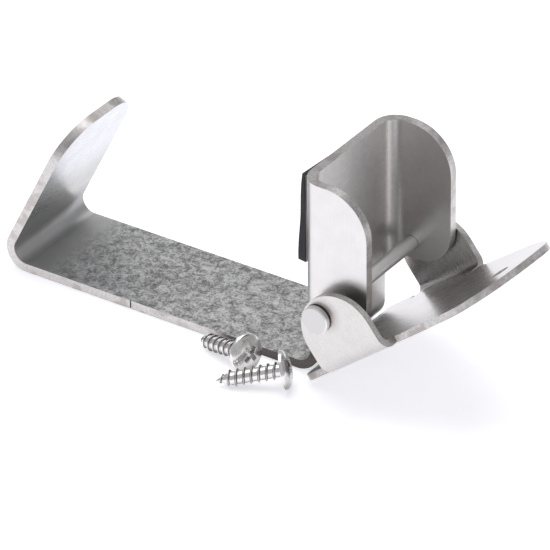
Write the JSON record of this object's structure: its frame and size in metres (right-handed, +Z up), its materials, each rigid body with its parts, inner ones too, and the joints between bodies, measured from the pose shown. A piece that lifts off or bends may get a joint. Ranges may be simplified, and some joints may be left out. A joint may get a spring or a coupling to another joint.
{
  "type": "stair gate latch",
  "caption": "Bent steel hook arm with a U-shaped end, a mounting yoke that swings on a pivot pin, a rubber pad on the web and loose mounting screws; catches a post and holds a stair gate shut.",
  "frame": {"origin": "centre of the flat underside of the hook arm's strap", "axes": "+X along the strap from the hook towards the yoke, +Y across the strap along the pivot pin, +Z up from the strap"},
  "size_m": [0.1259, 0.0473, 0.048],
  "materials": {
    "arm_steel": "tumbled strap, brushed flanges",
    "yoke_steel": "fine brushed",
    "pin_steel": "turned",
    "pad_rubber": "matte",
    "pad_glue": "thin adhesive film",
    "screw_plating": "bright zinc plating"
  },
  "bodies": {
    "arm": {"hook_arm": "arm_steel", "rubber_pad": "pad_rubber", "pad_adhesive": "pad_glue", "mounting_screw_1": "screw_plating", "mounting_screw_2": "screw_plating"},
    "yoke": {"mounting_yoke": "yoke_steel", "pivot_pin": "pin_steel"}
  },
  "joints": [
    {"name": "yoke_pivot", "type": "hinge", "parent": "arm", "child": "yoke", "pos_m": [0.04505, 0, 0.0197], "axis": [0, -1, 0], "range_deg": [0, 46]}
  ]
}
